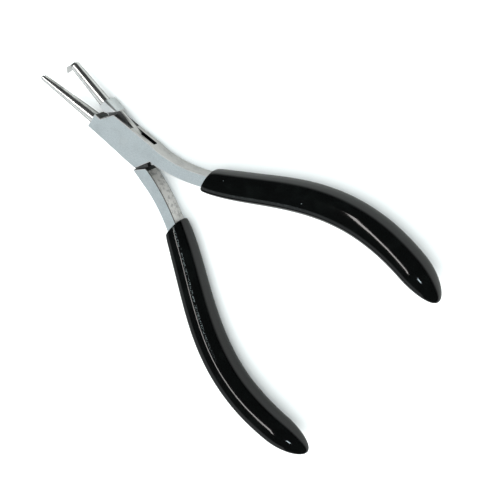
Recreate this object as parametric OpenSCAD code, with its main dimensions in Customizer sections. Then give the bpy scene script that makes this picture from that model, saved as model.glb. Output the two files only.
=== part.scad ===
// Box-joint pliers for jewellery work: a slotted half, a tongue half that runs
// through it, one flush pivot rivet and two dipped vinyl grips.
// Origin: on the pivot axis, at the back face of the box. +X points to the jaws,
// +Z to the front face. The halves are drawn closed and lie straight along X,
// then each is turned by half of the resting opening.

/* [Steel blank] */
// Thickness of the steel through the box and handles
steel_t = 5.4; // [5:0.1:6]
// Angle between the two halves as the pliers lie
rest_opening = 14; // [8:1:18]

/* [Box joint] */
// Thickness of the tongue inside the box
tongue_t = 1.8; // [1.4:0.1:2.2]
// Gap between the tongue and each side plate
tongue_gap = 0.06; // [0.04:0.01:0.1]
// Gap between shoulders and jaw blocks when the pliers are closed
shoulder_gap = 0.2; // [0.15:0.05:0.3]
// Diameter of the pivot rivet
rivet_d = 3.4; // [3:0.1:3.8]
// Radial clearance of the rivet in the tongue
rivet_clearance = 0.05; // [0.03:0.01:0.09]

/* [Long jaw] */
// Distance from the pivot to the tip of the long jaw
long_tip_x = 37; // [36:0.1:38]
// Diameter of the long jaw at its root
long_root_d = 4.3; // [4:0.1:4.6]
// Diameter of the long jaw at its tip
long_tip_d = 2.1; // [1.8:0.1:2.4]
// Width of the fork that takes the hook
fork_w = 1.2; // [1.1:0.1:1.3]
// Distance from the pivot to the bottom of the fork
fork_x = 28.2; // [27.6:0.1:28.6]

/* [Hooked jaw] */
// Distance from the pivot to the end of the hooked jaw's rod
hook_rod_x = 30.2; // [29.8:0.1:30.4]
// Diameter of the hooked jaw at its root
hook_root_d = 3.7; // [3.5:0.1:3.9]
// Diameter of the hooked jaw at its end
hook_end_d = 3.1; // [2.9:0.1:3.3]
// Thickness of the hook
hook_t = 0.9; // [0.7:0.1:0.9]

/* [Handles] */
// Width of the handles where they leave the box
handle_root_w = 4.7; // [4.4:0.1:4.9]
// Width of the handles inside the grips
handle_w = 4.1; // [3.8:0.1:4.2]

/* [Grips] */
// Width of a grip at its widest
grip_w = 10.1; // [9.8:0.1:11]
// Height of a grip at its thickest
grip_h = 10.6; // [10.2:0.1:12]
// How squarish the grip's section is, 2 being an ellipse
grip_squareness = 2.3; // [2:0.1:2.6]

/* [Hidden] */

half_opening = rest_opening / 2;
mid_z = steel_t / 2;
slot_t = tongue_t + 2 * tongue_gap;
steel_colour = [0.70, 0.74, 0.76];
jaw_colour = [0.80, 0.80, 0.79];
vinyl_colour = [0.05, 0.05, 0.06];

// Corners of the box, drawn closed with the half's own jaw at +Y and handle at -Y
block_front = 13.7;
block_inner_y = -1.25;
front_notch = [10.8, -1.05];
plate_front_corner = [7.3, -5.25];
plate_back_corner = [-7.3, 5.15];
back_notch = [-11, -0.2];
slot_back_corner = [-8.8, -5.0];
slot_front_corner = [8.4, 4.1];

// The tongue's free corner, a little inside the edges of the plates, and its inner
// corner at the handle; the tongue has the same free corner on its other side
tongue_corner = [1.6, 5];
tongue_handle_notch = [-11.07, 0.05];

// Centreline of a closed handle, one cubic curve from the box to the grip's end
handle_path = [[-12, -2.35], [-46.5, -3.9], [-61, -42.5], [-110.6, -22.2]];
steel_end_t = 0.94;
handle_steps = 40;
narrowing_t = 0.15;

// Long jaw and hooked jaw: their axes, drawn closed
long_root_y = 1.3;
long_tip_y = 1.45;
long_flat_y = -0.3;
long_root_depth = 2;
long_end_round = 0.3;
hook_root_y = -2.25;
hook_end_y = -2.15;
hook_end_round = 0.8;
root_overlap = 0.1;
hook_profile = [
    [28.6, -1.6], [29.1, -0.5], [29.65, 1.85], [31.25, 0.55], [30.5, -1.75], [29.9, -2.85]
];
fork_margin = 3;
cut = 1;

// Grip: where it starts, how it swells, how its mouth slants
grip_start_t = 0.194;
grip_round_t = 0.915;
grip_rings = 30;
grip_cap_rings = 8;
grip_sides = 24;
grip_fit = 0.03;
mouth_slant = 1.7;
mouth_slant_reach = 0.14;
// Share of the full width and height, along the grip from 0 at the mouth to 1
grip_width_at = [[0, 0.72], [0.015, 0.79], [0.06, 0.85], [0.3, 0.94], [0.6, 1], [0.85, 0.98], [1, 0.9]];
grip_height_at = [[0, 0.76], [0.015, 0.82], [0.06, 0.87], [0.3, 0.95], [0.6, 1], [0.85, 0.97], [1, 0.88]];

// A point on the handle's centreline, for t from 0 to 1
function path_point(t) =
    pow(1 - t, 3) * handle_path[0] + 3 * pow(1 - t, 2) * t * handle_path[1]
    + 3 * (1 - t) * t * t * handle_path[2] + pow(t, 3) * handle_path[3];

// The unit direction of the centreline, away from the pivot
function path_direction(t) =
    let (d = path_point(t + 0.001) - path_point(t - 0.001))
    d / norm(d);

// The unit direction across the handle, towards its outer side
function path_side(t) =
    let (d = path_direction(t))
    [-d[1], d[0]];

// Width of the steel along the handle
function steel_width(t) =
    handle_w + (handle_root_w - handle_w) * pow(max(0, 1 - t / narrowing_t), 2);

// Points along one edge of the handle: side is 1 for the outer edge, -1 for the inner
function handle_edge(side) = [
    for (i = [0:handle_steps])
    let (t = steel_end_t * i / handle_steps)
    path_point(t) + side * steel_width(t) / 2 * path_side(t)
];

function reversed(points) = [for (i = [len(points) - 1:-1:0]) points[i]];

// Moves an edge outwards by a distance, given its two ends
function shifted(a, b, distance) =
    let (d = (b - a) / norm(b - a))
    [a, b] + distance * [[d[1], -d[0]], [d[1], -d[0]]];

// The other half's shoulders stand off these two edges of the plates
front_shoulder = shifted(plate_front_corner, front_notch, shoulder_gap);
back_shoulder = shifted(plate_back_corner, back_notch, shoulder_gap);

// Full-thickness prism from an outline
module blank(outline) {
    linear_extrude(steel_t)
        polygon(outline);
}

// A round bar with a blunt end that tapers from one point to another in the
// middle of the steel; end_round is how far its end edge is broken
module tapered_bar(from, to, from_d, to_d, end_round) {
    span = to - from;
    translate([from[0], from[1], mid_z])
        rotate([0, 90, atan2(span[1], span[0])])
            rotate_extrude($fn = 64)
                polygon([
                    [0, 0], [from_d / 2, 0], [to_d / 2, norm(span) - end_round],
                    [to_d / 2 - end_round * 0.55, norm(span)], [0, norm(span)]
                ]);
}

// Rounded end of the steel inside the grip, in a half whose handle lies at -Y
module handle_end() {
    tip = path_point(steel_end_t);
    translate([tip[0], tip[1], 0])
        cylinder(h = steel_t, d = handle_w, $fn = 48);
}

// Whole outline of the slotted half: jaw block, both shoulders, inner and outer handle edge
slotted_outline = concat(
    [[block_front, 3.8], [4, 4.4], [-2.5, 4.95], plate_back_corner, back_notch],
    [for (p = handle_edge(-1)) if (p[0] < back_notch[0] - 1) p],
    [for (p = reversed(handle_edge(1))) if (p[0] < slot_back_corner[0] - 1) p],
    [slot_back_corner, [0, -5.1], plate_front_corner, front_notch, [block_front - 0.4, block_inner_y]]
);

// Room for the tongue between the plates, open at both sides of the box
slot_outline = [
    slot_back_corner + [0.3, -cut * 2], slot_back_corner, back_notch,
    back_notch + [-cut, cut], plate_back_corner + [-cut, cut],
    slot_front_corner + [-0.3, cut * 2], slot_front_corner, front_notch,
    front_notch + [cut, -cut], plate_front_corner + [cut, -cut]
];

// Half with the box, the long jaw and the handle at -Y
module slotted_half_closed() {
    difference() {
        union() {
            blank(slotted_outline);
            handle_end();
        }
        translate([0, 0, mid_z - slot_t / 2])
            linear_extrude(slot_t)
                polygon(slot_outline);
        translate([0, 0, -cut])
            cylinder(h = steel_t + 2 * cut, d = rivet_d, $fn = 64);
    }
    color(jaw_colour)
        long_jaw();
}

// Straight tapered jaw, flat on its inner side and forked at the tip
module long_jaw() {
    root = [block_front - long_root_depth, long_root_y];
    flat_start = [root[0], long_flat_y];
    flat_span = [long_tip_x, 0] - flat_start;
    difference() {
        tapered_bar(root, [long_tip_x, long_tip_y], long_root_d, long_tip_d, long_end_round);
        translate([flat_start[0], flat_start[1], 0])
            rotate([0, 0, atan2(flat_span[1], flat_span[0])])
                translate([-cut, -long_root_d, -cut])
                    cube([long_tip_x, long_root_d, steel_t + 2 * cut]);
        translate([fork_x + fork_w / 2, -fork_margin, mid_z - fork_w / 2])
            cube([long_tip_x, 3 * fork_margin, fork_w]);
        translate([fork_x + fork_w / 2, -fork_margin, mid_z])
            rotate([-90, 0, 0])
                cylinder(h = 3 * fork_margin, d = fork_w, $fn = 32);
    }
}

// Jaw block of the tongue half, in its closed place at -Y
hook_block_outline = [
    front_shoulder[1] - [0.02, 0.1], [block_front, block_inner_y - shoulder_gap / 2],
    [block_front, -4.8], [8.1, -5.1]
];

// Tongue that joins the jaw block to the handle through the slot
tongue_outline = [
    [8.1, -5.1], [12, -4.6], [12, -2], front_shoulder[1] - [0.02, 0.1],
    tongue_corner, back_shoulder[0] + [-0.8, -1.0], [-12, 3.5], [-12, 1.2],
    tongue_handle_notch, -1 * tongue_corner
];

// Handle of the tongue half, drawn at -Y: its shoulder, then the inner and outer edge
tongue_handle_outline = concat(
    [[-8.25, -4.2], [tongue_handle_notch[0], -tongue_handle_notch[1]]],
    [for (p = handle_edge(-1)) if (p[0] < tongue_handle_notch[0] - 1) p],
    [for (p = reversed(handle_edge(1))) if (p[0] < tongue_handle_notch[0] - 1) p]
);

// Half with the tongue, the hooked jaw at -Y and the handle at +Y
module tongue_half_closed() {
    difference() {
        union() {
            blank(hook_block_outline);
            mirror([0, 1, 0]) {
                blank(tongue_handle_outline);
                handle_end();
            }
            translate([0, 0, mid_z - tongue_t / 2])
                linear_extrude(tongue_t)
                    polygon(tongue_outline);
        }
        translate([0, 0, -cut])
            cylinder(h = steel_t + 2 * cut, d = rivet_d + 2 * rivet_clearance, $fn = 64);
    }
    color(jaw_colour)
        hooked_jaw();
}

// Round jaw with a blunt end and a thin hook that reaches into the fork
module hooked_jaw() {
    root = [block_front - root_overlap, hook_root_y];
    tapered_bar(root, [hook_rod_x, hook_end_y], hook_root_d, hook_end_d, hook_end_round);
    translate([0, 0, mid_z - hook_t / 2])
        linear_extrude(hook_t)
            polygon(hook_profile);
}

// Outline of a grip's section: x across the handle, y through its thickness
function grip_ring(width, height) = [
    for (i = [0:grip_sides - 1])
    let (a = 360 * i / grip_sides, power = 2 / grip_squareness)
    [
        sign(cos(a)) * pow(abs(cos(a)), power) * width / 2,
        sign(sin(a)) * pow(abs(sin(a)), power) * height / 2
    ]
];

// One ring of the grip in space: t along the handle, scale shrinks it at the end
function grip_section(t, scale) =
    let (
        along = (t - grip_start_t) / (1 - grip_start_t),
        centre = path_point(t),
        ahead = path_direction(t),
        across = path_side(t),
        slant = mouth_slant * max(0, 1 - along / mouth_slant_reach),
        width = grip_w * lookup(along, grip_width_at) * scale,
        height = grip_h * lookup(along, grip_height_at) * scale
    )
    [
        for (p = grip_ring(width, height))
        let (flat = centre + p[0] * across + slant * (p[0] / (width / 2)) * ahead)
        [flat[0], flat[1], mid_z + p[1]]
    ];

// Solid skin of a grip, swept along the handle
module grip_skin() {
    body_rings = [
        for (i = [0:grip_rings])
        grip_section(grip_start_t + (grip_round_t - grip_start_t) * i / grip_rings, 1)
    ];
    cap_rings = [
        for (i = [1:grip_cap_rings])
        let (a = 85 * i / grip_cap_rings)
        grip_section(grip_round_t + (1 - grip_round_t) * sin(a), cos(a))
    ];
    rings = concat(body_rings, cap_rings);
    last = len(rings) - 1;
    points = [for (ring = rings) for (p = ring) p];
    sides = [
        for (r = [0:last - 1])
        for (i = [0:grip_sides - 1])
        let (j = (i + 1) % grip_sides, a = r * grip_sides, b = a + grip_sides)
        [a + i, b + i, b + j, a + j]
    ];
    mouth = [for (i = [0:grip_sides - 1]) i];
    end = [for (i = [grip_sides - 1:-1:0]) last * grip_sides + i];
    polyhedron(points, concat(sides, [mouth], [end]), convexity = 6);
}

// Hollow grip of a half whose handle lies at -Y
module grip_closed() {
    tip = path_point(steel_end_t);
    outer = [
        for (i = [0:handle_steps])
        handle_edge(1)[i] + grip_fit * path_side(steel_end_t * i / handle_steps)
    ];
    inner = [
        for (i = [0:handle_steps])
        handle_edge(-1)[i] - grip_fit * path_side(steel_end_t * i / handle_steps)
    ];
    difference() {
        grip_skin();
        translate([0, 0, -grip_fit])
            linear_extrude(steel_t + 2 * grip_fit)
                polygon(concat(outer, reversed(inner)));
        translate([tip[0], tip[1], -grip_fit])
            cylinder(h = steel_t + 2 * grip_fit, d = handle_w + 2 * grip_fit, $fn = 48);
    }
}

module slotted_half() {
    color(steel_colour)
        rotate([0, 0, half_opening])
            slotted_half_closed();
}

module tongue_half() {
    color(steel_colour)
        rotate([0, 0, -half_opening])
            tongue_half_closed();
}

module pivot_rivet() {
    color(steel_colour)
        cylinder(h = steel_t, d = rivet_d, $fn = 64);
}

module slotted_half_grip() {
    color(vinyl_colour)
        rotate([0, 0, half_opening])
            grip_closed();
}

module tongue_half_grip() {
    color(vinyl_colour)
        rotate([0, 0, -half_opening])
            mirror([0, 1, 0])
                grip_closed();
}

slotted_half();
tongue_half();
pivot_rivet();
slotted_half_grip();
tongue_half_grip();
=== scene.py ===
# %% [markdown]
# # Box-joint crimping pliers
# The pliers are two steel halves that cross in a box joint, one ground rivet and
# two dipped vinyl grips. The imported model is loaded first and stays the frame:
# everything below is placed by it, and the rebuilt halves and grips each ride on one
# of its two bodies.

# %% Load the frame
import math

import bmesh
import bpy
from mathutils import Matrix, Vector


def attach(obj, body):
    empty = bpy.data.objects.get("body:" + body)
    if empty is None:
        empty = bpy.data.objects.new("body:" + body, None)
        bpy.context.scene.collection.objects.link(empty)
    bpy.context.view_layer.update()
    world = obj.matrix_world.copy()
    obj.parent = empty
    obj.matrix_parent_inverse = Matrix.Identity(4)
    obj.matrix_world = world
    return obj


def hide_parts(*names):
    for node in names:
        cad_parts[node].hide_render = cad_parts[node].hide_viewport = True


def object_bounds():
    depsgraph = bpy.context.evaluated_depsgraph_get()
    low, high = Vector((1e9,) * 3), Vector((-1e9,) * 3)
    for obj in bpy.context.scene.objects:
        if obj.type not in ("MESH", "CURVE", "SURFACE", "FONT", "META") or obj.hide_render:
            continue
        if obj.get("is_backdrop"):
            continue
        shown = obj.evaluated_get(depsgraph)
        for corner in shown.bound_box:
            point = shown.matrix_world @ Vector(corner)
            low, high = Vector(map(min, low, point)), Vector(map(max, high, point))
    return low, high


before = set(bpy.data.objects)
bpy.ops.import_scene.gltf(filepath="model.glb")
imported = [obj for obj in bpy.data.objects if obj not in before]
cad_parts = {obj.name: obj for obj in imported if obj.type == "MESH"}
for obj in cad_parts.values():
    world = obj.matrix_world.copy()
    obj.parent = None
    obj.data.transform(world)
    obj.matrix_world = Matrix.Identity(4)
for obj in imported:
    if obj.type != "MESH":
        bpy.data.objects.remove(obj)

cad_box = [list(corner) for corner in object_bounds()]
MM = 0.001
CM = 0.01

# %% [markdown]
# ## The camera
# The pliers lie nearly flat and are seen from above at an angle, from the side of
# the slotted half's handle, with the picture turned so that the jaws point to the
# upper left. A long lens at half a metre keeps both handles the same thickness.
# The camera could be placed by hand; three angles round an aim point are easier to
# read and to change.

# %% Camera by azimuth, elevation and roll
camera_azimuth = -21.82
camera_elevation = 54.926
camera_roll = -117.133
camera_distance = 500 * MM
camera_aim = Vector((-44.48, 5.80, -10.38)) * MM
camera_lens = 118.66
sensor_width = 36
nearest_seen = 10 * MM


def turned(degrees, axis):
    return Matrix.Rotation(math.radians(degrees), 4, axis)


def place_camera():
    facing = (turned(camera_azimuth, "Z") @ turned(90 - camera_elevation, "X")
              @ turned(camera_roll, "Z"))
    back = facing.to_3x3() @ Vector((0, 0, 1))
    data = bpy.data.cameras.new("bench_camera")
    data.lens = camera_lens
    data.sensor_width = sensor_width
    data.clip_start = nearest_seen
    camera = bpy.data.objects.new("bench_camera", data)
    camera.matrix_world = Matrix.Translation(camera_aim + back * camera_distance) @ facing
    bpy.context.scene.collection.objects.link(camera)
    bpy.context.scene.camera = camera
    return camera


camera = place_camera()
print("camera at", [round(x, 3) for x in camera.matrix_world.translation])

# %% [markdown]
# ## Node helpers
# Materials and Geometry Nodes are both trees of small boxes joined by wires. These
# helpers add a box, feed a number or a wire to a socket, and do one sum, so
# that each tree below reads like the rule it stands for.


# %% Helpers for node trees
def add(tree, kind, **settings):
    made = tree.nodes.new(kind)
    for name, value in settings.items():
        setattr(made, name, value)
    return made


def feed(tree, socket, value):
    if isinstance(value, bpy.types.NodeSocket):
        tree.links.new(value, socket)
    else:
        socket.default_value = value


def calc(tree, operation, *values):
    made = add(tree, "ShaderNodeMath", operation=operation)
    for socket, value in zip(made.inputs, values):
        feed(tree, socket, value)
    return made.outputs[0]


def vector_calc(tree, operation, *values):
    made = add(tree, "ShaderNodeVectorMath", operation=operation)
    for socket, value in zip(made.inputs, values):
        feed(tree, socket, value)
    return made.outputs[0]


def new_group(name, kind, inputs, outputs):
    """A node group with named inputs, as (name, socket type, default), and named outputs."""
    group = bpy.data.node_groups.new(name, kind)
    for label, socket_type, default in inputs:
        socket = group.interface.new_socket(label, in_out="INPUT", socket_type=socket_type)
        if default is not None:
            socket.default_value = default
    for label, socket_type in outputs:
        group.interface.new_socket(label, in_out="OUTPUT", socket_type=socket_type)
    return group, add(group, "NodeGroupInput").outputs, add(group, "NodeGroupOutput").inputs


# %% [markdown]
# ## Shared surface effects
# The steel faces were ground and then lightly blasted, the sides were belted along
# their length, and everything has been handled. Three small shader groups make
# these marks: a drawn-out grain, soft patches of handling, and specks of dust.
# Each is built once, and each material sets its own sizes.


# %% Grain drawn out along one direction
def make_grain_group():
    group, given, result = new_group(
        "drawn_grain", "ShaderNodeTree",
        [("Place", "NodeSocketVector", None), ("Length mm", "NodeSocketFloat", 2.0),
         ("Width mm", "NodeSocketFloat", 0.2), ("Contrast", "NodeSocketFloat", 1.0)],
        [("Mask", "NodeSocketFloat"), ("Height", "NodeSocketFloat")])
    along = calc(group, "DIVIDE", 1 / MM, given["Length mm"])
    across = calc(group, "DIVIDE", 1 / MM, given["Width mm"])
    scale = add(group, "ShaderNodeCombineXYZ")
    feed(group, scale.inputs[0], along)
    feed(group, scale.inputs[1], across)
    feed(group, scale.inputs[2], across)
    place = vector_calc(group, "MULTIPLY", given["Place"], scale.outputs[0])
    noise = add(group, "ShaderNodeTexNoise")
    feed(group, noise.inputs["Vector"], place)
    feed(group, noise.inputs["Scale"], 1.0)
    feed(group, noise.inputs["Detail"], 4.0)
    feed(group, noise.inputs["Roughness"], 0.6)
    centred = calc(group, "SUBTRACT", noise.outputs["Fac"], 0.5)
    spread = calc(group, "MULTIPLY", centred, given["Contrast"])
    mask = add(group, "ShaderNodeClamp")
    feed(group, mask.inputs[0], calc(group, "ADD", spread, 0.5))
    feed(group, result["Mask"], mask.outputs[0])
    feed(group, result["Height"], noise.outputs["Fac"])
    return group


grain_group = make_grain_group()
print("group", grain_group.name, "with", len(grain_group.nodes), "nodes")


# %% Patches of handling and specks of dust
patch_edge = 0.12


def make_patch_group():
    group, given, result = new_group(
        "handled_patches", "ShaderNodeTree",
        [("Place", "NodeSocketVector", None), ("Patch mm", "NodeSocketFloat", 4.0),
         ("Share", "NodeSocketFloat", 0.5)],
        [("Mask", "NodeSocketFloat")])
    noise = add(group, "ShaderNodeTexNoise")
    feed(group, noise.inputs["Vector"], given["Place"])
    feed(group, noise.inputs["Scale"], calc(group, "DIVIDE", 1 / MM, given["Patch mm"]))
    feed(group, noise.inputs["Detail"], 5.0)
    feed(group, noise.inputs["Distortion"], 0.4)
    edge = calc(group, "SUBTRACT", 1.0, given["Share"])
    ramp = add(group, "ShaderNodeMapRange", interpolation_type="SMOOTHSTEP")
    feed(group, ramp.inputs["Value"], noise.outputs["Fac"])
    feed(group, ramp.inputs["From Min"], calc(group, "SUBTRACT", edge, patch_edge))
    feed(group, ramp.inputs["From Max"], calc(group, "ADD", edge, patch_edge))
    feed(group, result["Mask"], ramp.outputs[0])
    return group


def make_speck_group():
    group, given, result = new_group(
        "dust_specks", "ShaderNodeTree",
        [("Place", "NodeSocketVector", None), ("Spacing mm", "NodeSocketFloat", 1.0),
         ("Speck", "NodeSocketFloat", 0.16), ("Share", "NodeSocketFloat", 0.3)],
        [("Mask", "NodeSocketFloat")])
    cells = add(group, "ShaderNodeTexVoronoi")
    feed(group, cells.inputs["Vector"], given["Place"])
    feed(group, cells.inputs["Scale"], calc(group, "DIVIDE", 1 / MM, given["Spacing mm"]))
    close = calc(group, "LESS_THAN", cells.outputs["Distance"], given["Speck"])
    split = add(group, "ShaderNodeSeparateColor")
    feed(group, split.inputs[0], cells.outputs["Color"])
    chosen = calc(group, "LESS_THAN", split.outputs[0], given["Share"])
    feed(group, result["Mask"], calc(group, "MULTIPLY", close, chosen))
    return group


patch_group = make_patch_group()
speck_group = make_speck_group()
print("groups", patch_group.name, speck_group.name)

# %% [markdown]
# ## Steel finishes
# One steel, several finishes: satin ground faces, the paler block behind the hook,
# belted sides, the rougher forged inner side of the tongue half's handle and the
# polished jaws. Broken edges get a lighter colour, a thin bright line painted as a
# highlight along the real bevel. Dark steel is painted as shade on the tongue, the
# shoulders, the box's outer cheek and the inner edge of the tongue half's handle, and
# darker painted shade on the faces inside the slot. They could be one material with
# masks, but on the real pliers the ground finishes are separate steps of grinding, so
# each is its own material, made by one function with its own values.


# %% A steel finish from its own values
def use_group(tree, group, **values):
    made = add(tree, "ShaderNodeGroup")
    made.node_tree = group
    for label, value in values.items():
        feed(tree, made.inputs[label.replace("_", " ")], value)
    return made.outputs


def new_material(name):
    material = bpy.data.materials.new(name)
    material.use_nodes = True
    tree = material.node_tree
    return material, tree, tree.nodes["Principled BSDF"]


def mix_colour(tree, share, first, second):
    made = add(tree, "ShaderNodeMix", data_type="RGBA")
    feed(tree, made.inputs["Factor"], share)
    feed(tree, made.inputs[6], first)
    feed(tree, made.inputs[7], second)
    return made.outputs[2]


relief_depth = 0.02 * MM
handled_darkening = 0.66
handled_polish = -0.4


def steel_finish(name, turn, dark, light, rough, rough_spread, grain_mm, contrast, bump, patches):
    """Steel with a grain along the half that lies turned by turn degrees.

    grain_mm is the grain's length and width, and patches the size in millimetres,
    share and strength of the handled patches.
    """
    length_mm, width_mm = grain_mm
    patch_mm, patch_share, patch_strength = patches
    material, tree, shader = new_material(name)
    place = add(tree, "ShaderNodeTexCoord").outputs["Object"]
    straight = add(tree, "ShaderNodeMapping")
    feed(tree, straight.inputs["Vector"], place)
    straight.inputs["Rotation"].default_value = (0, 0, math.radians(-turn))
    along = straight.outputs[0]
    grain = use_group(tree, grain_group, Place=along, Length_mm=length_mm,
                      Width_mm=width_mm, Contrast=contrast)
    handled = use_group(tree, patch_group, Place=along, Patch_mm=patch_mm, Share=patch_share)
    ground = mix_colour(tree, grain["Mask"], (*dark, 1), (*light, 1))
    dulled = tuple(handled_darkening * x for x in dark)
    worn_share = calc(tree, "MULTIPLY", handled["Mask"], patch_strength)
    worn = mix_colour(tree, worn_share, ground, (*dulled, 1))
    feed(tree, shader.inputs["Base Color"], worn)
    shader.inputs["Metallic"].default_value = 1.0
    swing = calc(tree, "MULTIPLY", calc(tree, "SUBTRACT", grain["Mask"], 0.5), rough_spread)
    greasy = calc(tree, "MULTIPLY", handled["Mask"], handled_polish * rough_spread)
    roughness = calc(tree, "ADD", calc(tree, "ADD", swing, greasy), rough)
    feed(tree, shader.inputs["Roughness"], roughness)
    relief = add(tree, "ShaderNodeBump")
    relief.inputs["Strength"].default_value = bump
    relief.inputs["Distance"].default_value = relief_depth
    feed(tree, relief.inputs["Height"], grain["Height"])
    feed(tree, shader.inputs["Normal"], relief.outputs[0])
    return material


# %% Every finish of a half
# Name, dark and light colour, roughness and its spread, grain in millimetres,
# contrast, bump, and handled patches
finish_values = {
    "satin": ("satin_face", (0.60, 0.675, 0.70), (0.78, 0.85, 0.875), 0.42, 0.12,
              (0.7, 0.3), 2.0, 0.35, (5.0, 0.45, 0.2)),
    "block": ("block_face", (0.80, 0.85, 0.865), (0.95, 0.98, 0.985), 0.50, 0.12,
              (0.7, 0.3), 2.0, 0.35, (5.0, 0.45, 0.2)),
    "side": ("belted_side", (0.68, 0.675, 0.66), (0.88, 0.87, 0.85), 0.36, 0.14,
             (6.0, 0.18), 2.0, 0.4, (3.0, 0.42, 0.35)),
    "forged": ("forged_side", (0.84, 0.82, 0.80), (0.99, 0.975, 0.955), 0.44, 0.2,
               (2.2, 0.7), 2.2, 1.0, (1.1, 0.42, 0.9)),
    # The next three are dark steel painted as shade: on the recessed tongue, where the halves shut
    # together, and darkest inside the slot
    "tongue": ("tongue_face", (0.13, 0.134, 0.134), (0.26, 0.265, 0.265), 0.42, 0.1,
               (1.2, 0.3), 1.6, 0.3, (2.0, 0.5, 0.5)),
    "shoulder": ("oiled_shoulder", (0.08, 0.083, 0.08), (0.19, 0.195, 0.19), 0.40, 0.1,
                 (1.2, 0.3), 1.6, 0.3, (2.0, 0.5, 0.5)),
    "slot": ("slot_face", (0.02, 0.022, 0.022), (0.07, 0.073, 0.073), 0.42, 0.1,
             (1.2, 0.3), 1.6, 0.3, (2.0, 0.5, 0.5)),
    "jaw": ("polished_jaw", (0.74, 0.74, 0.725), (0.88, 0.88, 0.865), 0.20, 0.08,
            (5.0, 0.12), 1.8, 0.25, (2.5, 0.45, 0.3)),
    # Broken edges get a lighter colour, a thin highlight line painted along the real bevel
    "edge": ("broken_edge", (0.90, 0.905, 0.905), (0.98, 0.985, 0.985), 0.55, 0.1,
             (2.0, 0.1), 1.6, 0.2, (3.0, 0.4, 0.2)),
}
finish_order = list(finish_values)
half_opening = 7.0


def steel_set(half, turn):
    """Every finish of one half, with its grain along that half."""
    return {kind: steel_finish(f"{half}_{label}", turn, *values)
            for kind, (label, *values) in finish_values.items()}


slotted_steel = steel_set("slotted_half", half_opening)
tongue_steel = steel_set("tongue_half", -half_opening)
print("steel finishes", len(slotted_steel) + len(tongue_steel))

# %% [markdown]
# ## The steel halves
# The imported halves have the right shape but knife-sharp edges and loose triangles.
# Each is copied, its doubled points are merged and its flat faces joined. Every
# face then gets its finish, the one it has on the real pliers or painted shade,
# picked by where it lies and which way it looks, and a Bevel modifier breaks only
# the edges that a file or belt would reach; their bevel gets a painted highlight
# colour. The edges inside the fork and slot stay sharp. The hook's block has a
# much softer outer corner, so it gets a wider bevel first. The bevelled half is baked
# into a plain mesh, because the round jaws are polished and a mirror shows every
# uneven face: their shading is set to point straight out from their axes.

# %% Which finish a face has
steel_t = 5.4 * MM
slot_t = 1.92 * MM
slot_reach = 11.5 * MM
slot_half_width = 4.3 * MM
block_back = 7 * MM
block_front = 13.7 * MM
handle_root = -8 * MM
# The box's outer cheek gets the tongue's painted shade from the pivot to here
cheek_front = 8 * MM
hair = 0.01 * MM
# The two places where one half shuts against the other, as ranges of x and y
shoulder_places = [((7 * MM, 13.6 * MM), (-4.85 * MM, -0.9 * MM)),
                   ((-12 * MM, -7.4 * MM), (-0.2 * MM, 4.9 * MM))]


def in_shoulder(centre):
    """Whether a face is where the halves shut together, where dark steel is painted as shade."""
    return any(xs[0] < centre.x < xs[1] and ys[0] < centre.y < ys[1]
               for xs, ys in shoulder_places)


def finish_of(centre, normal, is_tongue_half):
    """The finish of a face, from its centre and normal with the half turned straight."""
    flat = abs(normal.z) > 0.9
    upright = abs(normal.z) < 0.5
    if centre.x > block_front + hair:
        return "jaw"
    if flat and (centre.z < hair or centre.z > steel_t - hair):
        return "block" if is_tongue_half and centre.x > block_back else "satin"
    # Painted shade where the halves shut together
    if upright and in_shoulder(centre):
        return "shoulder"
    between_plates = (abs(centre.z - steel_t / 2) < slot_t / 2 + hair
                      and abs(centre.x) < slot_reach)
    # Painted shade on the recessed tongue and inside the slot
    if between_plates and flat:
        return "tongue" if is_tongue_half else "slot"
    # Painted shade on the faces inside the slot
    if between_plates and abs(centre.y) < slot_half_width:
        return "slot"
    if is_tongue_half and centre.x < handle_root and normal.y < -0.5:
        return "forged"
    if is_tongue_half and centre.x > block_back and upright:
        return "block"
    # Painted shade on the box's outer cheek near the pivot
    if not is_tongue_half and 0 < centre.x < cheek_front and normal.y < -0.9:
        return "tongue"
    return "side"


# %% Edges that get broken
hard_corner = math.radians(30)
rivet_reach = 2 * MM
shortest_upright = 1.2 * MM
soft_side = -4.7 * MM
soft_back = 8 * MM
shortest_soft_edge = 4 * MM
# Within this, two heights are the same
level = 0.001 * MM


def edge_is_broken(edge):
    """The outer edges of the flat faces and the long upright corners."""
    if edge.calc_face_angle(0) < hard_corner:
        return False
    ends = [v.co for v in edge.verts]
    on_face = any(all(abs(p.z - face) < level for p in ends) for face in (0, steel_t))
    bore = all(p.xy.length < rivet_reach for p in ends)
    run = ends[0] - ends[1]
    upright = run.xy.length < level and run.length > shortest_upright
    return (on_face or upright) and not bore


def edge_is_soft(edge, straight):
    """The outer corner of the hook's block: its upright edge and the two along its side."""
    ends = [straight @ v.co for v in edge.verts]
    run = ends[0] - ends[1]
    outer = all(p.y < soft_side and p.x > soft_back for p in ends)
    upright = all(abs(p.x - block_front) < hair for p in ends)
    along = abs(run.z) < level and abs(run.x) > shortest_soft_edge
    return outer and (upright or along)


# %% Shading of a polished round jaw
# Each jaw's root, tip and their radii, in millimetres, with its half turned straight
jaw_lines = {
    "slotted_half": ((11.7, 1.3, 2.7), (37, 1.45, 2.7), 2.15, 1.05),
    "tongue_half": ((13.6, -2.25, 2.7), (30.2, -2.15, 2.7), 1.85, 1.55),
}
round_enough = 0.985


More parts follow.
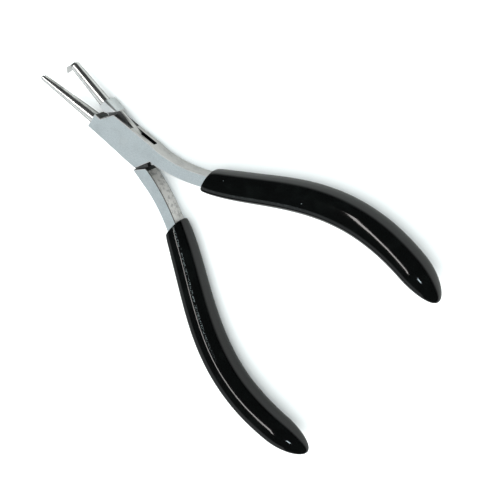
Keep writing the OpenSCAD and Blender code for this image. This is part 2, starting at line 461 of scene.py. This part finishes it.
def polish_jaw(mesh, jaw, turn):
    """Shade the round faces of a jaw straight out from its axis; how many there are."""
    root, tip, root_radius, tip_radius = jaw
    root, tip = Vector(root) * MM, Vector(tip) * MM
    axis = (tip - root).normalized()
    taper = (root_radius - tip_radius) * MM / (tip - root).length
    straight = turned(-turn, "Z").to_3x3()

    def outward(point):
        reach = point - root
        return ((reach - axis * reach.dot(axis)).normalized() + axis * taper).normalized()

    normals = [corner.vector.copy() for corner in mesh.corner_normals]
    polished = 0
    for face in mesh.polygons:
        centre = straight @ face.center
        facing = straight @ face.normal
        if centre.x < block_front or outward(centre).dot(facing) < round_enough:
            continue
        polished += 1
        for corner in face.loop_indices:
            point = straight @ mesh.vertices[mesh.loops[corner].vertex_index].co
            normals[corner] = straight.transposed() @ outward(point)
    mesh.normals_split_custom_set(normals)
    return polished


# %% Painted shade on the inner edge of the tongue half's handle
edge_shade_from = -8.6 * MM
edge_shade_slant = -0.2


def paint_inner_edge_shade(mesh, turn):
    """Give the inner broken edges of a handle the tongue's dark finish as painted shade; how many
    there are.
    """
    straight = turned(-turn, "Z").to_3x3()
    dulled = 0
    for face in mesh.polygons:
        behind = (straight @ face.center).x < edge_shade_from
        inner = (straight @ face.normal).y < edge_shade_slant
        if behind and inner and finish_order[face.material_index] == "edge":
            face.material_index = finish_order.index("tongue")
            dulled += 1
    return dulled


# %% Copy, merge and finish a half
merge_gap = 0.001 * MM
flat_within = math.radians(0.3)
jaw_edges_from = block_front + 0.2 * MM
jaw_edge_share = 0.3


def finished_copy(source, is_tongue_half, steel, turn):
    """A clean copy of a packed half, with its finishes and the weights for its bevels."""
    mesh = source.data.copy()
    work = bmesh.new()
    work.from_mesh(mesh)
    bmesh.ops.remove_doubles(work, verts=work.verts, dist=merge_gap)
    bmesh.ops.dissolve_limit(work, angle_limit=flat_within, verts=work.verts, edges=work.edges)
    straight = turned(-turn, "Z")
    broken = work.edges.layers.float.new("broken_weight")
    soft = work.edges.layers.float.new("soft_weight")
    for edge in work.edges:
        edge.smooth = edge.calc_face_angle(0) < hard_corner
        if is_tongue_half and edge_is_soft(edge, straight):
            edge[soft] = 1.0
        elif edge_is_broken(edge):
            on_jaw = (straight @ edge.verts[0].co).x >= jaw_edges_from
            edge[broken] = jaw_edge_share if on_jaw else 1.0
    for face in work.faces:
        face.smooth = True
        centre, facing = straight @ face.calc_center_median(), straight @ face.normal
        face.material_index = finish_order.index(finish_of(centre, facing, is_tongue_half))
    mesh.materials.clear()
    for kind in finish_order:
        mesh.materials.append(steel[kind])
    work.to_mesh(mesh)
    work.free()
    return mesh


# %% Bevel both halves and hand them over
soft_corner_mm, soft_corner_steps = 0.9, 6
broken_edge_mm, broken_edge_steps = 0.22, 3


def add_bevel(piece, name, weight_name, width_mm, steps):
    bevel = piece.modifiers.new(name, "BEVEL")
    bevel.limit_method = "WEIGHT"
    bevel.edge_weight = weight_name
    bevel.width = width_mm * MM
    bevel.segments = steps
    bevel.use_clamp_overlap = False
    bevel.harden_normals = True
    return bevel


def plain_mesh_of(piece, name):
    """The piece's mesh with its modifiers in it; the piece itself is removed."""
    bpy.context.view_layer.update()
    evaluated = piece.evaluated_get(bpy.context.evaluated_depsgraph_get())
    mesh = bpy.data.meshes.new_from_object(evaluated)
    mesh.name = name
    bpy.data.objects.remove(piece)
    return mesh


def rebuild_half(node, name, body, steel, turn):
    is_tongue_half = node == "tongue_half"
    mesh = finished_copy(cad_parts[node], is_tongue_half, steel, turn)
    blank = bpy.data.objects.new(name + "_blank", mesh)
    bpy.context.scene.collection.objects.link(blank)
    add_bevel(blank, "soft_corner", "soft_weight", soft_corner_mm, soft_corner_steps)
    broken = add_bevel(blank, "broken_edges", "broken_weight", broken_edge_mm, broken_edge_steps)
    # The bevel's faces get the lighter edge colour, a painted highlight line
    broken.material = finish_order.index("edge")
    finished = plain_mesh_of(blank, name)
    if is_tongue_half:
        print(name, "has", paint_inner_edge_shade(finished, turn), "dull edge faces")
    print(name, "has", polish_jaw(finished, jaw_lines[node], turn), "polished round faces")
    half = bpy.data.objects.new(name, finished)
    bpy.context.scene.collection.objects.link(half)
    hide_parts(node)
    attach(half, body)
    return half


slotted_half = rebuild_half("slotted_half", "slotted_half_steel", "slotted_body",
                            slotted_steel, half_opening)
tongue_half = rebuild_half("tongue_half", "tongue_half_steel", "tongue_body",
                           tongue_steel, -half_opening)
for half in (slotted_half, tongue_half):
    print(half.name, len(half.data.polygons), "faces")

# %% [markdown]
# ## The rivet
# The rivet was peened over and ground away with the faces of the box, so it can
# hardly be seen. It could be modelled again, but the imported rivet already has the
# right shape; it only needs the same satin finish with its own, slightly different
# grain.

# %% Rivet finish
rivet_grain_turn = 50
rivet_steel = steel_finish("rivet_end", rivet_grain_turn, (0.60, 0.67, 0.69),
                           (0.77, 0.835, 0.855), 0.42, 0.1,
                           (0.5, 0.25), 1.4, 0.35, (2.0, 0.4, 0.2))
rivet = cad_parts["pivot_rivet"]
rivet.data.materials.clear()
rivet.data.materials.append(rivet_steel)

# %% [markdown]
# ## The dipped vinyl
# The handles are dipped hot into liquid vinyl, which sets as a thick glossy skin:
# nearly black, very smooth, with a slight orange-peel waviness and a little dust.
# A principled shader with low roughness does the gloss; groups add fingermarks,
# waviness and dust, which lies in a streak along the top of the tongue half's grip.
# The streak is placed by two numbers that the grip carries at each of its points:
# how far round the section it is, and how far along the handle.

# %% Vinyl colours and where its dust lies
vinyl_black = (0.0004, 0.0006, 0.0006, 1)
fingered_black = (0.0012, 0.0017, 0.0016, 1)
dust_colour = (0.30, 0.36, 0.36, 1)
vinyl_shine = 0.07
finger_dullness = 0.04
dust_dullness = 0.4
lint_share = 0.25
# Where the dust lies: a line round the section and its fading sides, and a run along
dust_line = 0.31
dust_line_fade = (0.016, 0.004)
dust_run_fade = (0.62, 0.40)


# %% Vinyl material
def between(tree, value, low, high, shape="LINEAR"):
    """How far value is from low to high, clamped to 0 and 1."""
    made = add(tree, "ShaderNodeMapRange", interpolation_type=shape)
    feed(tree, made.inputs["Value"], value)
    feed(tree, made.inputs["From Min"], low)
    feed(tree, made.inputs["From Max"], high)
    return made.outputs[0]


def vinyl_finish(name, dust_share):
    material, tree, shader = new_material(name)
    place = add(tree, "ShaderNodeTexCoord").outputs["Object"]
    touched = use_group(tree, patch_group, Place=place, Patch_mm=6.0, Share=0.4)
    around = add(tree, "ShaderNodeAttribute", attribute_name="around").outputs["Fac"]
    along = add(tree, "ShaderNodeAttribute", attribute_name="along").outputs["Fac"]
    off_line = calc(tree, "ABSOLUTE", calc(tree, "SUBTRACT", around, dust_line))
    near_line = between(tree, off_line, *dust_line_fade, "SMOOTHSTEP")
    in_run = between(tree, along, *dust_run_fade, "SMOOTHSTEP")
    specks = use_group(tree, speck_group, Place=place, Spacing_mm=0.32, Speck=0.42, Share=0.75)
    dusty = calc(tree, "MULTIPLY", calc(tree, "MULTIPLY", near_line, in_run),
                 calc(tree, "MULTIPLY", specks["Mask"], dust_share))
    lint = use_group(tree, speck_group, Place=place, Spacing_mm=5.0, Speck=0.035, Share=0.5)
    specked = calc(tree, "MAXIMUM", dusty, calc(tree, "MULTIPLY", lint["Mask"], lint_share))
    black = mix_colour(tree, touched["Mask"], vinyl_black, fingered_black)
    feed(tree, shader.inputs["Base Color"], mix_colour(tree, specked, black, dust_colour))
    shine = calc(tree, "MULTIPLY_ADD", touched["Mask"], finger_dullness, vinyl_shine)
    roughness = calc(tree, "MULTIPLY_ADD", specked, dust_dullness, shine)
    feed(tree, shader.inputs["Roughness"], roughness)
    peel = use_group(tree, grain_group, Place=place, Length_mm=1.6, Width_mm=1.6, Contrast=1.0)
    relief = add(tree, "ShaderNodeBump")
    relief.inputs["Strength"].default_value = 0.25
    relief.inputs["Distance"].default_value = relief_depth
    feed(tree, relief.inputs["Height"], peel["Height"])
    feed(tree, shader.inputs["Normal"], relief.outputs[0])
    return material


clean_vinyl = vinyl_finish("slotted_half_vinyl", 0.05)
dusty_vinyl = vinyl_finish("tongue_half_vinyl", 0.30)
print("vinyl", clean_vinyl.name, dusty_vinyl.name)

# %% [markdown]
# ## The grips
# A grip is one rule: a squarish oval carried along the bowed handle, thin at the
# mouth, fullest in the palm, rounded shut at the end, with a slanted mouth and a
# soft lip where the vinyl dripped. It could be sculpted or lofted by hand, but a
# rule suits Geometry Nodes. A flat grid is bent into the skin: one side of the grid
# runs along the handle, the other goes round it. The handle's line is a cubic curve
# made by de Casteljau's construction, which is only mixing between points.

# %% The grip's own values, in millimetres
handle_path = [(-12, -2.35, 0), (-46.5, -3.9, 0), (-61, -42.5, 0), (-110.6, -22.2, 0)]
grip_values = {
    "Width": 10.04 * MM, "Height": 10.54 * MM, "Squareness": 2.3, "Start": 0.194,
    "Round Start": 0.915, "Mouth Slant": 1.7 * MM, "Slant Reach": 0.14, "Lip": 0.55 * MM,
    "Lip Share": 0.006, "Middle Height": steel_t / 2, "Unevenness": 0.05 * MM,
}
# Share of the full width and height at each share of the way along
width_along = [(0, 0.72), (0.015, 0.79), (0.06, 0.85), (0.3, 0.94), (0.6, 1.0),
               (0.85, 0.98), (1, 0.9)]
height_along = [(0, 0.76), (0.015, 0.82), (0.06, 0.87), (0.3, 0.95), (0.6, 1.0),
                (0.85, 0.97), (1, 0.88)]
# The grid's stretches end here: closed mouth, then lip, then body
mouth_share = 0.02
lip_share = 0.06
body_share = 0.82
rings_along = 260
points_round = 96
seam_gap = 0.0015 * MM
waves_across_a_metre = 110.0
highest_wave = 0.75


# %% Parts of the grip's tree
def mix_points(tree, share, first, second):
    made = add(tree, "ShaderNodeMix", data_type="VECTOR")
    feed(tree, made.inputs["Factor"], share)
    feed(tree, made.inputs[4], first)
    feed(tree, made.inputs[5], second)
    return made.outputs[1]


def curve_of(tree, value, points):
    """A curve of the given points, read at value."""
    made = add(tree, "ShaderNodeFloatCurve")
    line = made.mapping.curves[0]
    line.points[0].location = points[0]
    line.points[1].location = points[-1]
    for point in points[1:-1]:
        line.points.new(*point)
    made.mapping.update()
    feed(tree, made.inputs["Value"], value)
    return made.outputs[0]


def oval(tree, wave, squareness):
    """Cosine or sine pressed towards a square: its sign times a power of its size."""
    power = calc(tree, "DIVIDE", 2.0, squareness)
    return calc(tree, "MULTIPLY", calc(tree, "SIGN", wave),
                calc(tree, "POWER", calc(tree, "ABSOLUTE", wave), power))


# %% The grip's tree
def make_grip_tree():
    inputs = [(f"Path {i}", "NodeSocketVector", Vector(p) * MM) for i, p in enumerate(handle_path)]
    inputs += [(label, "NodeSocketFloat", value) for label, value in grip_values.items()]
    inputs += [("Opening", "NodeSocketFloat", 0.0), ("Side", "NodeSocketFloat", 1.0),
               ("Seed", "NodeSocketFloat", 0.0), ("Vinyl", "NodeSocketMaterial", None)]
    tree, given, result = new_group("dipped_grip", "GeometryNodeTree", inputs,
                                    [("Geometry", "NodeSocketGeometry")])
    tree.is_modifier = True
    grid = add(tree, "GeometryNodeMeshGrid")
    for label, value in (("Size X", 1.0), ("Size Y", 1.0), ("Vertices X", rings_along),
                         ("Vertices Y", points_round + 1)):
        grid.inputs[label].default_value = value
    flat = add(tree, "ShaderNodeSeparateXYZ")
    feed(tree, flat.inputs[0], add(tree, "GeometryNodeInputPosition").outputs[0])
    u = calc(tree, "ADD", flat.outputs[0], 0.5)
    v = calc(tree, "ADD", flat.outputs[1], 0.5)
    angle = calc(tree, "MULTIPLY", v, 2 * math.pi)

    # Stretches of the grid: closed mouth, rounded lip, body, rounded end
    quarter = math.pi / 2
    closing = between(tree, u, 0.0, mouth_share)
    lip_turn = calc(tree, "MULTIPLY", between(tree, u, mouth_share, lip_share), quarter)
    body = between(tree, u, lip_share, body_share)
    end_turn = calc(tree, "MULTIPLY", between(tree, u, body_share, 1.0), quarter)
    lip_ahead = calc(tree, "MULTIPLY", given["Lip Share"],
                     calc(tree, "SUBTRACT", 1.0, calc(tree, "COSINE", lip_turn)))
    body_start = calc(tree, "ADD", given["Start"], given["Lip Share"])
    body_ahead = calc(tree, "MULTIPLY", body,
                      calc(tree, "SUBTRACT", given["Round Start"], body_start))
    end_ahead = calc(tree, "MULTIPLY", calc(tree, "SINE", end_turn),
                     calc(tree, "SUBTRACT", 1.0, given["Round Start"]))
    t = calc(tree, "ADD", calc(tree, "ADD", given["Start"], lip_ahead),
             calc(tree, "ADD", body_ahead, end_ahead))
    shrink = calc(tree, "MULTIPLY", given["Lip"],
                  calc(tree, "SUBTRACT", 1.0, calc(tree, "SINE", lip_turn)))
    scale = calc(tree, "MULTIPLY", closing, calc(tree, "COSINE", end_turn))

    # The handle's line by de Casteljau's construction
    path = [given[f"Path {i}"] for i in range(4)]
    a, b, c = (mix_points(tree, t, path[i], path[i + 1]) for i in range(3))
    d, e = mix_points(tree, t, a, b), mix_points(tree, t, b, c)
    centre = mix_points(tree, t, d, e)
    ahead = vector_calc(tree, "NORMALIZE", vector_calc(tree, "SUBTRACT", e, d))
    outward = vector_calc(tree, "CROSS_PRODUCT", (0, 0, 1), ahead)

    # The section at this place
    along = calc(tree, "DIVIDE", calc(tree, "SUBTRACT", t, given["Start"]),
                 calc(tree, "SUBTRACT", 1.0, given["Start"]))
    half_width = calc(tree, "MULTIPLY", calc(tree, "MULTIPLY", given["Width"], 0.5),
                      curve_of(tree, along, width_along))
    half_height = calc(tree, "MULTIPLY", calc(tree, "MULTIPLY", given["Height"], 0.5),
                       curve_of(tree, along, height_along))
    x = calc(tree, "MULTIPLY", oval(tree, calc(tree, "COSINE", angle), given["Squareness"]),
             calc(tree, "MULTIPLY", calc(tree, "SUBTRACT", half_width, shrink), scale))
    z = calc(tree, "MULTIPLY", oval(tree, calc(tree, "SINE", angle), given["Squareness"]),
             calc(tree, "MULTIPLY", calc(tree, "SUBTRACT", half_height, shrink), scale))
    slant_done = calc(tree, "DIVIDE", along, given["Slant Reach"])
    slant_left = calc(tree, "MAXIMUM", 0.0, calc(tree, "SUBTRACT", 1.0, slant_done))
    slant = calc(tree, "MULTIPLY", calc(tree, "MULTIPLY", given["Mouth Slant"], slant_left),
                 calc(tree, "DIVIDE", x, half_width))

    # Place of each point, then the half's side and opening
    def scaled(direction, amount):
        made = add(tree, "ShaderNodeVectorMath", operation="SCALE")
        feed(tree, made.inputs[0], direction)
        feed(tree, made.inputs["Scale"], amount)
        return made.outputs[0]

    rise = scaled((0, 0, 1), calc(tree, "ADD", z, given["Middle Height"]))
    point = vector_calc(tree, "ADD", vector_calc(tree, "ADD", centre, scaled(outward, x)),
                        vector_calc(tree, "ADD", scaled(ahead, slant), rise))
    side = add(tree, "ShaderNodeCombineXYZ")
    side.inputs[0].default_value = side.inputs[2].default_value = 1.0
    feed(tree, side.inputs[1], given["Side"])
    mirrored = vector_calc(tree, "MULTIPLY", point, side.outputs[0])
    opened = add(tree, "ShaderNodeVectorRotate", rotation_type="Z_AXIS")
    feed(tree, opened.inputs["Vector"], mirrored)
    feed(tree, opened.inputs["Angle"], given["Opening"])

    geometry = grid.outputs["Mesh"]
    for label, value in (("around", v), ("along", along)):
        store = add(tree, "GeometryNodeStoreNamedAttribute", data_type="FLOAT", domain="POINT")
        store.inputs["Name"].default_value = label
        feed(tree, store.inputs["Geometry"], geometry)
        feed(tree, store.inputs["Value"], value)
        geometry = store.outputs[0]
    bent = add(tree, "GeometryNodeSetPosition")
    feed(tree, bent.inputs["Geometry"], geometry)
    feed(tree, bent.inputs["Position"], opened.outputs[0])
    joined = add(tree, "GeometryNodeMergeByDistance")
    feed(tree, joined.inputs["Geometry"], bent.outputs[0])
    joined.inputs["Distance"].default_value = seam_gap

    # A dipped skin is never quite even; it sinks rather than swells, to stay in its size
    waves = add(tree, "ShaderNodeTexNoise", noise_dimensions="4D")
    feed(tree, waves.inputs["Vector"], add(tree, "GeometryNodeInputPosition").outputs[0])
    feed(tree, waves.inputs["W"], given["Seed"])
    waves.inputs["Scale"].default_value = waves_across_a_metre
    waves.inputs["Detail"].default_value = 1.0
    swell = calc(tree, "MULTIPLY", calc(tree, "SUBTRACT", waves.outputs["Fac"], highest_wave),
                 given["Unevenness"])
    facing = add(tree, "GeometryNodeInputNormal").outputs[0]
    wavy = add(tree, "GeometryNodeSetPosition")
    feed(tree, wavy.inputs["Geometry"], joined.outputs[0])
    feed(tree, wavy.inputs["Offset"], scaled(facing, swell))
    smooth = add(tree, "GeometryNodeSetShadeSmooth")
    feed(tree, smooth.inputs[0], wavy.outputs[0])
    real = add(tree, "GeometryNodeRealizeInstances")
    feed(tree, real.inputs[0], smooth.outputs[0])
    coated = add(tree, "GeometryNodeSetMaterial")
    feed(tree, coated.inputs["Geometry"], real.outputs[0])
    feed(tree, coated.inputs["Material"], given["Vinyl"])
    feed(tree, result["Geometry"], coated.outputs[0])
    return tree


grip_tree = make_grip_tree()
print("grip tree has", len(grip_tree.nodes), "nodes")


# %% Dip both handles
def set_input(modifier, label, value):
    for item in modifier.node_group.interface.items_tree:
        if item.item_type == "SOCKET" and item.in_out == "INPUT" and item.name == label:
            modifier[item.identifier] = value
            return
    raise KeyError(label)


def dip_grip(name, node, body, opening, side, seed, vinyl):
    former = bpy.data.objects.new(name + "_former", bpy.data.meshes.new(name + "_former"))
    bpy.context.scene.collection.objects.link(former)
    modifier = former.modifiers.new("dip", "NODES")
    modifier.node_group = grip_tree
    set_input(modifier, "Opening", math.radians(opening))
    set_input(modifier, "Side", side)
    set_input(modifier, "Seed", seed)
    set_input(modifier, "Vinyl", vinyl)
    mesh = plain_mesh_of(former, name)
    work = bmesh.new()
    work.from_mesh(mesh)
    if work.calc_volume(signed=True) < 0:
        bmesh.ops.reverse_faces(work, faces=work.faces)
    open_edges = sum(not edge.is_manifold for edge in work.edges)
    volume = round(work.calc_volume() / CM ** 3, 2)
    print(name, len(work.faces), "faces,", volume, "cm3,", open_edges, "open edges")
    work.to_mesh(mesh)
    work.free()
    grip = bpy.data.objects.new(name, mesh)
    bpy.context.scene.collection.objects.link(grip)
    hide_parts(node)
    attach(grip, body)
    return grip


slotted_grip = dip_grip("slotted_half_vinyl_grip", "slotted_half_grip", "slotted_body",
                        half_opening, side=1.0, seed=3.0, vinyl=clean_vinyl)
tongue_grip = dip_grip("tongue_half_vinyl_grip", "tongue_half_grip", "tongue_body",
                       -half_opening, side=-1.0, seed=8.0, vinyl=dusty_vinyl)

# %% [markdown]
# ## Table, light and air
# The pliers lie on a white table, resting on the undersides of the grips with the
# box just clear of it, so the table is lowered until no part of a grip is below it.
# Black vinyl and bright steel want different lamps, so light linking gives each its
# own, as flags and cards do in a studio; one set of lamps for both would burn out the
# steel or leave the vinyl flat. A thin strip and a small lamp draw the streaks on the
# vinyl, a large pale panel and a strip are for the steel, and a low wide lamp behind
# is for both. One more, which reflections don't show, whitens the table. The room is
# dim, which keeps the vinyl black. In reflections the table's colour is a painted
# shade, darker where it is seen at a low slant, as a table in a room is.

# %% How the table lies
rest_back = Vector((-75, 0, -2.62)) * MM
rest_front = Vector((13.7, 0, 0)) * MM
table_slope = math.atan2(rest_front.z - rest_back.z, rest_front.x - rest_back.x)
table_half = 3.0
grip_gaps = [v.co.z - (v.co.x - rest_front.x) * math.tan(table_slope)
             for grip in (slotted_grip, tongue_grip) for v in grip.data.vertices]
table_place = rest_front + Vector((0, 0, min(grip_gaps)))
print("table slopes by", round(math.degrees(table_slope), 2), "degrees and passes",
      round(-min(grip_gaps) / MM, 2), "mm below the front of the box")


# %% Table
def lay_table():
    mesh = bpy.data.meshes.new("table_top")
    corners = [(-table_half, -table_half, 0), (table_half, -table_half, 0),
               (table_half, table_half, 0), (-table_half, table_half, 0)]
    mesh.from_pydata(corners, [], [(0, 1, 2, 3)])
    mesh.transform(Matrix.Translation(table_place) @ Matrix.Rotation(-table_slope, 4, "Y"))
    table = bpy.data.objects.new("table_top", mesh)
    bpy.context.scene.collection.objects.link(table)
    material, tree, shader = new_material("white_table")
    place = add(tree, "ShaderNodeTexCoord").outputs["Object"]
    faint = use_group(tree, patch_group, Place=place, Patch_mm=40.0, Share=0.5)
    white = mix_colour(tree, faint["Mask"], (0.90, 0.905, 0.905, 1), (0.915, 0.92, 0.92, 1))
    # In reflections only, the table's colour is painted shade: dark at a low slant, paler nearer
    # square on
    mirrored = add(tree, "ShaderNodeLightPath").outputs["Is Glossy Ray"]
    slant = add(tree, "ShaderNodeLayerWeight")
    slant.inputs["Blend"].default_value = 0.5
    lit = between(tree, slant.outputs["Facing"], 0.97, 0.55, "SMOOTHSTEP")
    painted_reflection_shade = mix_colour(tree, lit, (0.03, 0.03, 0.03, 1), (0.45, 0.448, 0.44, 1))
    feed(tree, shader.inputs["Base Color"], mix_colour(tree, mirrored, white, painted_reflection_shade))
    shader.inputs["Roughness"].default_value = 0.7
    shader.inputs["Specular IOR Level"].default_value = 0.2
    mesh.materials.append(material)
    table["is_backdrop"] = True
    return table


table = lay_table()
print(table.name, "is", 2 * table_half, "m wide")

# %% Lamps
lamp_aim = Vector((-35, 0, 0)) * MM


def hang_lamp(name, direction, distance, size, power, colour, lit_pieces=(), in_gloss=True):
    """A lamp aimed at the pliers; with lit_pieces, it lights nothing else."""
    data = bpy.data.lights.new(name, "AREA")
    data.shape = "RECTANGLE"
    data.size, data.size_y = size
    data.energy = power
    data.color = colour
    lamp = bpy.data.objects.new(name, data)
    toward = Vector(direction).normalized()
    facing = toward.to_track_quat("Z", "Y").to_matrix().to_4x4()
    lamp.matrix_world = Matrix.Translation(lamp_aim + toward * distance) @ facing
    lamp.visible_glossy = in_gloss
    lamp.visible_camera = False
    bpy.context.scene.collection.objects.link(lamp)
    if lit_pieces:
        lit = bpy.data.collections.new(name + "_lights")
        for piece in lit_pieces:
            lit.objects.link(piece)
        lamp.light_linking.receiver_collection = lit
    return lamp


vinyl_pieces = (slotted_grip, tongue_grip)
steel_pieces = (slotted_half, tongue_half, rivet)
hang_lamp("streak_lamp", (0.15, 0.08, 0.98), 0.9, (0.75, 0.06), 1.3, (1.0, 0.97, 0.94),
          vinyl_pieces)
hang_lamp("end_lamp", (-0.37, 0.036, 0.928), 0.93, (0.12, 0.10), 0.7, (0.80, 0.93, 1.0),
          vinyl_pieces)
hang_lamp("wide_lamp", (0.21, 0.93, 0.30), 1.2, (1.4, 0.6), 1.1, (0.92, 0.98, 1.0))
hang_lamp("sky_panel", (0.15, 0.77, 0.64), 1.2, (2.4, 1.4), 6.8, (0.95, 0.99, 1.0),
          steel_pieces)
hang_lamp("steel_strip", (0.20, -0.26, 0.95), 0.9, (1.3, 0.22), 3.6, (1.0, 0.99, 0.97),
          steel_pieces)
hang_lamp("table_lamp", (-0.25, 0.65, 0.70), 1.6, (1.2, 1.2), 21.0, (1.0, 1.0, 1.0),
          in_gloss=False)


# %% Air: bright for the table, dim for reflections
def set_air(table_light, reflected_light):
    world = bpy.data.worlds.new("studio_air")
    bpy.context.scene.world = world
    world.use_nodes = True
    tree = world.node_tree
    air = tree.nodes["Background"]
    ray = add(tree, "ShaderNodeLightPath").outputs["Is Glossy Ray"]
    amount = add(tree, "ShaderNodeMix")
    feed(tree, amount.inputs["Factor"], ray)
    feed(tree, amount.inputs[2], table_light)
    feed(tree, amount.inputs[3], reflected_light)
    air.inputs["Color"].default_value = (0.94, 1.0, 1.0, 1)
    feed(tree, air.inputs["Strength"], amount.outputs[0])


set_air(table_light=1.9, reflected_light=0.06)
bpy.context.scene.view_settings.view_transform = "Standard"
print("air", bpy.context.scene.world.name)

# %% [markdown]
# ## Finish
# The finished model's box less the frame's box is printed, so that a piece that grew
# out of the imported shape is noticed at once.

# %% Sizes
bpy.context.view_layer.update()
visual_box = [list(corner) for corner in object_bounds()]
growth = [[round((v - c) / MM, 2) for v, c in zip(*pair)] for pair in zip(visual_box, cad_box)]
print("visual less cad, mm", growth)
